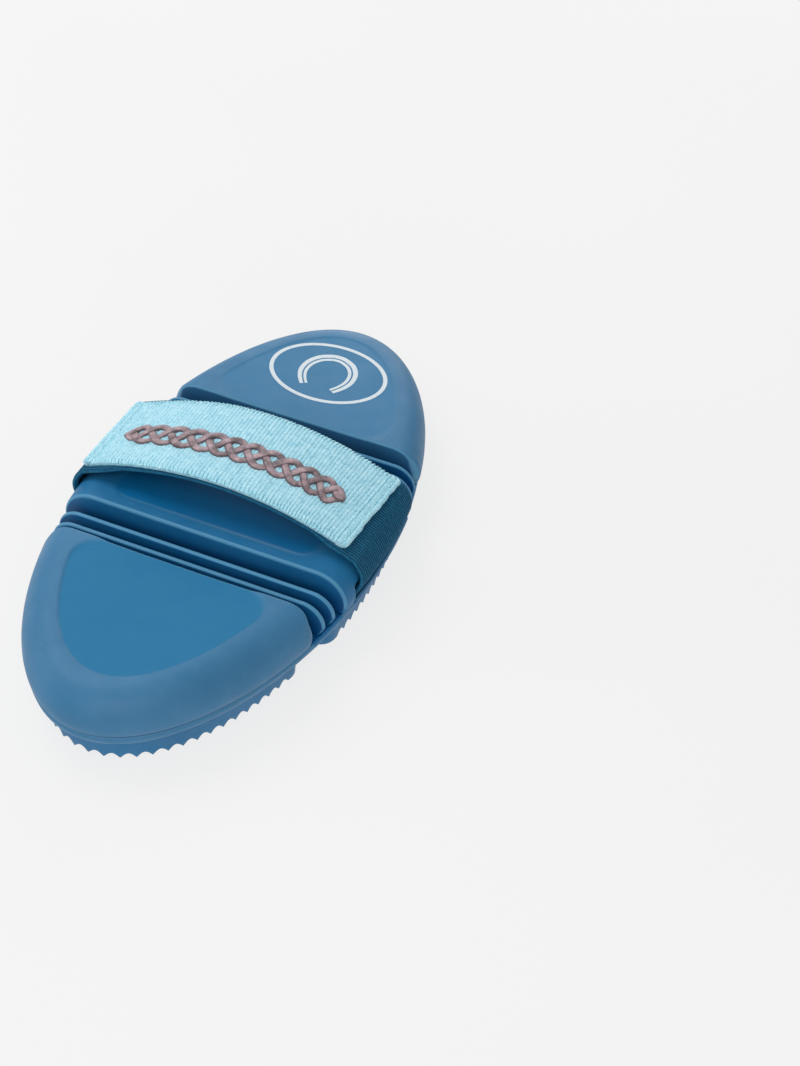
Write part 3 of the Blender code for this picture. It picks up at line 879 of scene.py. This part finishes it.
def rounded(path, reach):
    """A closed path with its corners rounded, by averaging each point with those within reach."""
    step = 0.25 * MM
    ring = ringed(path)
    fine = resampled(ring, round(path_length(ring) / step) + 1)[:-1]
    span = round(reach / step)
    return sum(np.roll(fine, k, axis=0) for k in range(-span, span + 1)) / (2 * span + 1)


def nearest(path, post):
    """Which point of a path lies closest to a post."""
    return int(np.argmin(np.linalg.norm(path - post, axis=1)))


def end_island(end, side, look):
    arcs = ((85.9 * MM, 38.9 * MM), (76.8 * MM, 29.5 * MM), (67.5 * MM, 19.8 * MM))
    start_y = 36.5 * MM
    outer = ellipse_arc(*arcs[0], start_y, side)
    ring_wall(f"{end}_outer_wall", f"{end}_end", outer, (outer[0], outer[-1]), POST_REACH, look)
    for place, reaches in zip(("middle", "inner"), arcs[1:]):
        arc = ellipse_arc(*reaches, start_y + 1.0 * MM, side)
        open_wall(f"{end}_{place}_wall", f"{end}_end", arc, 1.4 * MM, look)


def centre_island(look):
    heights = np.linspace(-24, 24, 61) * MM
    right = np.stack([outline_x(heights, 5.2 * MM), heights], axis=1)
    outer = np.vstack([right, -right])
    posts = (right[0], right[-1], -right[0], -right[-1])
    ring_wall("centre_ring_wall", "centre", outer, posts, POST_REACH, look)

    half_x, half_y = 29.3 * MM, 13.7 * MM
    box = np.array([(half_x, -half_y), (half_x, half_y), (-half_x, half_y), (-half_x, -half_y)])
    ring_wall("centre_inner_wall", "centre", box, box, 2.6 * MM, look)

    reach = half_y - 1.0 * MM
    for name, x in (("left", -19.0 * MM), ("right", 19.0 * MM)):
        path = np.array([(x, y) for y in np.linspace(-reach, reach, 40)])
        open_wall(f"centre_cross_wall_{name}", "centre", path, 1.0 * MM, look)


# ---- hand strap


def cords(y):
    """Height of the elastic's lengthwise cords at y."""
    phase = (y - STRAP_Y) / CORD_PITCH % 1.0 * 2 - 1
    return CORD_HEIGHT * np.sqrt(np.maximum(0, 1 - phase**2))


def strap_solid(name, centre_line, follow, look):
    """A strip of the elastic along centre_line, which holds (x, z), with its cords on its outer face.

    follow(z) is how closely the strip follows the rim's outline there, 0 to 1.
    """
    half = (BAND_HIGH.y - BAND_LOW.y) / 2
    columns = STRAP_Y + np.linspace(-half, half, round(2 * half / CORD_PITCH) * 6 + 1)
    edge = np.minimum(1, (columns - columns[0]) / (0.5 * MM))
    edge = np.sqrt(1 - (1 - np.minimum(edge, edge[::-1])) ** 2)  # rounds the two selvedges
    inner_columns = columns[:: max(1, len(columns) // 40)][::-1]
    inner_edge = np.interp(inner_columns, columns, edge)
    ys = np.concatenate([columns, inner_columns])
    outward = np.concatenate([edge * (ELASTIC_THICK / 2 + cords(columns)), -inner_edge * ELASTIC_THICK / 2])
    normal = left_normals(np.gradient(centre_line, axis=0))
    if normal[len(normal) // 2].dot((centre_line[len(normal) // 2][0], 1e-3)) < 0:
        normal = -normal
    loops = []
    for (x, z), (out_x, out_z) in zip(centre_line, normal):
        drawn_in = math.copysign(1, x) * follow(z) * (HALF_WIDTH - outline_x(ys, 0))
        loops.append(np.column_stack([x + out_x * outward - drawn_in, ys, z + out_z * outward]))
    made = lofted(name, np.array(loops), look)
    # painted shade in the gaps between the cords
    marked(made, "hollow", lambda places, normals: 1 - cords(places[:, 1]) / CORD_HEIGHT)
    return made


# One leg of the elastic, from the arch down into its slot
LEG_PATH = np.array([(2.3, 24.2), (1.0, 22.5), (0.1, 20.6), (-0.1, 18.7), (0.5, 16.9), (1.45, 15.0),
                     (1.87, 13.3), (1.87, 11.2)])


def elastic(look):
    band_end = BAND_HIGH.x
    middle = BAND_HIGH.z - ELASTIC_THICK / 2
    places = np.linspace(-band_end, band_end, 121)
    line = np.stack([places, middle - ARCH_FALL * places**2], axis=1)

    band = strap_solid("elastic_arch", line, lambda z: 0.0, look)
    for point in band.data.vertices:  # the seam draws the front edge in under the cover
        drawn = float(smooth_step((36 * MM - abs(point.co.x)) / (8 * MM))) * 1.1 * MM
        point.co.y += drawn * max(0.0, (STRAP_Y - point.co.y) / (STRAP_Y - BAND_LOW.y))
    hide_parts("elastic_band")
    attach(band, "strap")

    top = np.array([(band_end, line[-1][1])])
    near = top - np.array([(-0.9, 0.42)]) * MM
    path = np.stack([HALF_WIDTH - LEG_PATH[:, 0] * MM, LEG_PATH[:, 1] * MM], axis=1)
    path = eased(np.vstack([top, near, path]), 70)

    def follow(z):
        """0 at the arch, to 1 where the leg lies along the rim."""
        return float(np.clip((25.5 * MM - z) / (6.5 * MM), 0, 1))

    for name, side in (("left", -1), ("right", 1)):
        line = path * (side, 1)
        leg = strap_solid(f"elastic_end_{name}", line, follow, look)
        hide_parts(f"elastic_leg_{name}")
        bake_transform(leg)


def arch_reach(x):
    """Length along the arch from its middle to x."""
    k = 2 * ARCH_FALL
    return (x * np.sqrt(1 + (k * x) ** 2) + np.arcsinh(k * x) / k) / 2


def arch_point(reach, height):
    """(x, z) at this length along the cover's outer face, height above it."""
    xs = np.linspace(-0.05, 0.05, 2001)
    x = float(np.interp(reach, arch_reach(xs), xs))
    z = COVER_TOP_Z - ARCH_FALL * x * x
    slope = -2 * ARCH_FALL * x
    size = math.hypot(1, slope)
    return x - slope / size * height, z + height / size


def cover_point(reach, y, height):
    """(x, y, z) on the cover, height above it.

    It is sewn a little askew: its right end slants in towards the front, and its left end is narrower.
    """
    off = (y - STRAP_Y) / (COVER_HIGH.y - STRAP_Y)
    right = float(smooth_step((reach - 14 * MM) / (24 * MM)))
    left = float(smooth_step((-reach - 10 * MM) / (28 * MM)))
    reach -= (right * (1.8 - 1.3 * off) + left * 1.4) * MM
    x, z = arch_point(reach, height)
    return x, STRAP_Y + (y - STRAP_Y) * (1 - 0.07 * left) - 0.3 * MM * left, z


def webbing(look):
    """The cover: thick weft ribs across it, with the long edges a little uneven."""
    rng = np.random.default_rng(7)
    end = arch_reach(HEM_END_X - 3.0 * MM)
    ribs = 2 * round(end / WEFT_PITCH)
    steps = 7
    reaches = np.linspace(-end, end, ribs * steps + 1)
    columns = np.linspace(COVER_LOW.y, COVER_HIGH.y, 69)
    sway = np.convolve(rng.normal(0, 1, len(columns) + 8), np.ones(9) / 9, "valid") * 0.035
    tall = 1 + rng.normal(0, 0.13, ribs + 1)
    wide = rng.normal(0, 0.13 * MM, ribs + 1)
    phase = np.linspace(0, ribs, len(reaches))
    edge = np.clip((columns - columns[0]) / (0.7 * MM), 0, 1)
    edge = np.minimum(edge, edge[::-1])
    loops, hollows = [], []
    for reach, turn in zip(reaches, phase):
        rib = min(ribs - 1, int(turn))
        local = (turn + sway) % 1.0 * 2 - 1
        rise = np.sqrt(np.maximum(0, 1 - local**2)) * tall[rib]
        outer = []
        for y, lift, ease in zip(columns, rise, edge):
            push = (1 - ease) * (wide[rib] + 0.22 * MM * lift) * math.copysign(1, y - STRAP_Y)
            height = WEFT_HEIGHT * (lift - 1) - (1 - ease) ** 2 * 0.45 * MM
            outer.append(cover_point(reach, y + push, height))
        inner = [cover_point(reach, y, -COVER_THICK) for y in np.linspace(columns[-1], columns[0], 12)]
        loops.append(outer + inner)
        hollows.append(np.concatenate([1 - np.clip(rise, 0, 1), np.zeros(12)]))
    made = lofted("webbing_top", np.array(loops), look)
    # painted shade in the gaps between the ribs
    mark_hollow_shade(made, hollows)
    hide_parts("webbing_cover")
    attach(made, "strap")
    return made


# The hem's section, as (share of its length, height in mm): a flat fold, a stitched valley, a roll
HEM_SECTION = [(0, -0.1), (0.06, 0.12), (0.2, 0.16), (0.38, 0.13), (0.46, 0.0), (0.53, 0.0), (0.6, 0.2),
               (0.7, 0.36), (0.8, 0.4), (0.9, 0.28), (0.97, 0.02), (1.0, -0.35), (0.97, -0.9), (0.88, -1.3),
               (0.7, -1.42), (0.4, -1.42), (0, -1.42)]
HEM_LENGTH = 3.3 * MM
HEM_CORNER = 1.3 * MM


def hem(name, side, look):
    """The cover's end, folded under and oversewn, with a wavy outline and rounded corners."""
    rng = np.random.default_rng(11 + side)
    start = arch_reach(HEM_END_X) - HEM_LENGTH
    columns = np.linspace(COVER_LOW.y - 0.1 * MM, COVER_HIGH.y + 0.1 * MM, 34 * 8 + 1)
    wobble = np.interp(np.arange(len(columns)), np.arange(0, len(columns) + 18, 18),
                       rng.normal(0, 1, len(columns) // 18 + 2))
    loops, hollows = [], []
    half = columns[-1] - STRAP_Y
    for i, y in enumerate(columns):
        to_corner = min(1.0, (half - abs(y - STRAP_Y)) / HEM_CORNER)
        cut = HEM_CORNER * (1 - math.sqrt(1 - (1 - to_corner) ** 2))
        length = HEM_LENGTH - cut + 0.14 * MM * wobble[i]
        loop, hollow = [], []
        for share, height in HEM_SECTION:
            turn = (i / 9.0 + share * 0.9) % 1.0 * 2 - 1
            stitch = math.sqrt(max(0.0, 1 - turn * turn))
            if height > 0:
                height *= 0.35 + 0.75 * stitch
            reach = start + length * share + 0.09 * MM * stitch * (share > 0.9)
            loop.append(cover_point(side * reach, y, height * MM))
            # painted shade in the stitched valley and between the stitches
            hollow.append(0.85 if 0.4 < share < 0.56 and height > -0.05 else 0.95 * (1 - stitch))
        loops.append(loop if side > 0 else loop[::-1])
        hollows.append(hollow if side > 0 else hollow[::-1])
    made = lofted(f"hem_{name}", np.array(loops), look, sharp=80)
    mark_hollow_shade(made, hollows)
    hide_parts(f"cover_hem_{name}")
    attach(made, "strap")
    return made


def tubes(name, lines, radius, look):
    """Round threads along lists of points, each capped, in one mesh."""
    sides = 6
    points, faces = [], []
    turns = np.linspace(0, 2 * math.pi, sides + 1)[:-1]
    for line in lines:
        line = np.asarray(line, float)
        along = np.gradient(line, axis=0)
        along /= np.linalg.norm(along, axis=1)[:, None]
        first = len(points)
        for i, (here, forward) in enumerate(zip(line, along)):
            up = np.array((0, 0, 1.0)) if abs(forward[2]) < 0.9 else np.array((1.0, 0, 0))
            across = np.cross(forward, up)
            across /= np.linalg.norm(across)
            over = np.cross(across, forward)
            size = radius * (0.55 if i in (0, len(line) - 1) else 1)
            points += [here + size * (across * math.cos(t) + over * math.sin(t)) for t in turns]
        faces += strip_faces(len(line), sides, wrap_columns=True, first=first)
        last = first + (len(line) - 1) * sides
        faces += [tuple(range(first, first + sides)), tuple(range(last, last + sides))]
    return piece(name, points, faces, look, sharp=80)


def seam_stitches(look):
    """Oversewing along the long edges, and two rows of stitches at each hem."""
    rng = np.random.default_rng(23)
    end = arch_reach(HEM_END_X) - HEM_LENGTH
    lines = []
    for edge, out in ((COVER_LOW.y, -1), (COVER_HIGH.y, 1)):
        for reach in np.arange(-end, end, WEFT_PITCH):
            jog, long = rng.normal(0, 0.09 * MM), rng.normal(0, 0.12)
            line = []
            for inward, height in ((1.5 + long, 0.02), (1.0, 0.1), (0.35, 0.06), (-0.1, -0.35),
                                   (-0.12, -0.8), (0.2, -1.35)):
                lean = (1.5 - inward) * 0.22 * MM
                line.append(cover_point(reach + jog + lean, edge - out * inward * MM, height * MM))
            lines.append(line)
    for side in (-1, 1):
        for row, height, pitch in ((end - 0.5 * MM, 0.0, 1.55 * MM), (end + 1.6 * MM, 0.02 * MM, 1.3 * MM)):
            for y in np.arange(COVER_LOW.y + 1.6 * MM, COVER_HIGH.y - 2.0 * MM, pitch):
                jog = rng.normal(0, 0.1 * MM)
                lines.append([cover_point(side * (row + jog), y + share * pitch * 0.8,
                                          height + 0.17 * MM * math.sin(math.pi * share) - 0.05 * MM)
                              for share in np.linspace(0, 1, 6)])
    made = tubes("cover_stitches", lines, 0.18 * MM, look)
    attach(made, "strap")
    return made


def satin_band(reaches, ys, width, height, name, look, lift):
    """A raised band of satin stitch along a path on the cover: fine threads lie across the path."""
    path = np.stack([reaches, ys], axis=1)
    path = resampled(path, max(8, round(path_length(path) / (0.11 * MM))))
    normal = left_normals(np.gradient(path, axis=0))
    lifts = np.interp(np.linspace(0, 1, len(path)), np.linspace(0, 1, len(lift)), lift)
    loops = []
    count = len(path)
    top = np.linspace(-1, 1, 7)
    for i, (here, out) in enumerate(zip(path, normal)):
        thread = (0, 0.72, 1.0)[i % 3]
        taper = min(1.0, min(i, count - 1 - i) / 6 + 0.25)
        half = width / 2 * (0.95 + 0.05 * thread) * taper
        crown = height * (0.78 + 0.22 * thread) * taper
        rises = [crown * math.sqrt(1 - 0.9 * share * share) + lifts[i] for share in top]
        loops.append([cover_point(*(here + out * half * share), rise)
                      for share, rise in zip([*top, 1, -1], rises + [-0.25 * MM] * 2)])
    made = lofted(name, np.array(loops), look, sharp=80)
    # painted shade along the band's sides
    mark_hollow_shade(made, np.tile([1, 0.35, 0, 0, 0, 0.35, 1, 1, 1], count))
    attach(made, "strap")
    return made


def embroidery(look):
    """A plain plait of three strands, in satin stitch."""
    first, last = arch_reach(low("embroidery_thread").x - 1.2 * MM), arch_reach(high("embroidery_thread").x)
    middle = (low("embroidery_thread").y + high("embroidery_thread").y) / 2 - 2.4 * MM
    turns = 4
    t = np.linspace(0, 1, 721)
    swing = 3.9 * MM * smooth_step(np.minimum(t, 1 - t) / 0.07)
    for strand in range(3):
        phase = 2 * math.pi * (turns * t + strand / 3)
        lift = 0.24 * MM * (1 + np.sin(2 * phase))
        made = satin_band(first + (last - first) * t, middle + swing * np.sin(phase), 2.3 * MM, 0.4 * MM,
                          f"plait_strand_{strand + 1}", look, lift)
        if strand == 0:
            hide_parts("embroidery_thread")


# ---- print


def print_band(name, path, width, look, closed):
    """A flat band of ink along a plan path, lying on the rear section's dish."""
    along = np.roll(path, -1, axis=0) - np.roll(path, 1, axis=0) if closed else np.gradient(path, axis=0)
    normal = left_normals(along)
    widths = np.broadcast_to(width, (len(path),))[:, None]
    columns = []
    for share, rise in ((-0.5, 0.05), (-0.25, 0.05), (0, 0.05), (0.25, 0.05), (0.5, 0.05),
                        (0.5, -0.05), (-0.5, -0.05)):
        spot = path + normal * widths * share
        ground = end_top(inset_at(spot[:, 0], spot[:, 1]), spot[:, 1], "rear")
        columns.append(np.column_stack([spot, ground + rise * MM]))
    made = lofted(name, np.stack(columns, axis=1), look, closed=closed, sharp=60)
    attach(made, "rear_end")
    return made


def emblem(look):
    """A plain oval ring with a horseshoe in it, drawn as two bands with the groove between."""
    middle = (BADGE_LOW + BADGE_HIGH) / 2
    half_x, half_y = (BADGE_HIGH.x - BADGE_LOW.x) / 2, (BADGE_HIGH.y - BADGE_LOW.y) / 2
    turns = np.linspace(0, 2 * math.pi, 181)[:-1]
    width = 1.3 * MM
    ring = np.stack([middle.x + (half_x - width / 2) * np.cos(turns),
                     middle.y + (half_y - width / 2) * np.sin(turns)], axis=1)
    made = print_band("emblem_ring", ring, width, look, True)
    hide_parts("printed_badge")
    arm = np.array([(-4.6, -8.2), (-6.5, -5.2), (-7.6, -1.6), (-7.2, 2.4), (-5.2, 5.8), (-2.2, 7.7)]) * MM
    shoe = eased(np.vstack([arm, [(0, 8.1 * MM)], (arm * (-1, 1))[::-1]]), 91)
    normal = left_normals(np.gradient(shoe, axis=0))
    thin = np.abs(np.linspace(-1, 1, len(shoe)))[:, None] ** 2
    for name, offset, widths in (("outer", 0.95 * MM, 1.6 * MM - 0.5 * MM * thin),
                                 ("inner", -0.95 * MM, 1.1 * MM - 0.3 * MM * thin)):
        path = shoe + normal * offset * (1 - 0.25 * thin) + (middle.x, middle.y)
        print_band(f"emblem_horseshoe_{name}", path, widths[:, 0], look, False)


# ---- stage


def camera():
    """Looks down on the comb from its front right, rolled a little."""
    azimuth, elevation, roll = (math.radians(angle) for angle in (18.94, 41.30, 5.26))
    turn = Matrix.Rotation(azimuth, 4, "Z") @ Matrix.Rotation(math.pi / 2 - elevation, 4, "X")
    data = bpy.data.cameras.new("camera")
    data.lens = 58.0
    data.sensor_width = 36
    data.clip_start = 0.01
    made = bpy.data.objects.new("camera", data)
    bpy.context.scene.collection.objects.link(made)
    place = Matrix.Translation((0.16608, -0.33931, 0.34203))
    made.matrix_world = place @ turn @ Matrix.Rotation(roll, 4, "Z")
    bpy.context.scene.camera = made


def area_light(name, place, size, power):
    """A square lamp aimed at the comb."""
    data = bpy.data.lights.new(name, "AREA")
    data.size = size
    data.energy = power
    made = bpy.data.objects.new(name, data)
    made.location = place
    made.rotation_euler = (-Vector(place)).to_track_quat("-Z", "Y").to_euler()
    bpy.context.scene.collection.objects.link(made)


def studio():
    scene = bpy.context.scene
    scene.view_settings.view_transform = "Standard"
    world = bpy.data.worlds.new("studio")
    scene.world = world
    world.use_nodes = True
    sky = world.node_tree.nodes["Background"]
    sky.inputs["Color"].default_value = (1, 1, 1, 1)
    sky.inputs["Strength"].default_value = 0.42
    area_light("key", (-0.42, 0.10, 0.75), 0.5, 2.9)
    area_light("back", (-0.20, 0.85, 0.36), 0.6, 2.8)
    area_light("left", (-0.8, -0.25, 0.35), 0.5, 1.1)
    area_light("front", (0.20, -0.75, 0.58), 0.8, 3.6)
    half = 3.0
    corners = [(-half, -half, 0), (half, -half, 0), (half, half, 0), (-half, half, 0)]
    floor = piece("floor", corners, [(0, 1, 2, 3)], floor_look("floor_paper"))
    floor.location.z = -0.05 * MM


def main():
    camera()
    studio()
    # navy is the painted shade colour of the grooves, seam and vent holes
    bloom, navy = (0.09, 0.25, 0.40), (0.000, 0.052, 0.180)
    body = rubber("body_rubber", (0.036, 0.158, 0.302), (0.052, 0.188, 0.348), bloom, (0.000, 0.156, 0.330),
                  navy, 0.22)
    # the centre section and the bellows: a darker, more saturated copy of the body rubber, painting the
    # shade of the strap and the grooves
    middle = rubber("strap_shaded_rubber", (0.008, 0.128, 0.290), (0.016, 0.155, 0.335), bloom,
                    (0.000, 0.126, 0.320), navy, 0.2)
    teeth = rubber("tooth_rubber", (0.010, 0.125, 0.285), (0.018, 0.155, 0.330), bloom, navy, navy)
    stretch = elastic_cloth("elastic_cloth")
    cover = webbing_cloth("webbing_cloth")
    sewing = thread_look("sewing_thread", (0.30, 0.66, 0.78), (0.50, 0.83, 0.90), 0.7)
    mauve = thread_look("embroidery_thread_look", (0.12, 0.085, 0.095), (0.47, 0.34, 0.37), 0.55)
    ink = ink_look("white_ink")

    centre_upper(middle)
    centre_lower(body)
    centre_island(teeth)
    for end, side in (("front", -1), ("rear", 1)):
        end_upper(end, side, body)
        end_lower(end, side, body)
        bellows(end, side, middle)
        end_island(end, side, teeth)

    elastic(stretch)
    top = webbing(cover)
    hems = [hem(name, side, cover) for name, side in (("left", -1), ("right", 1))]
    stitches = seam_stitches(sewing)
    embroidery(mauve)
    emblem(ink)


main()
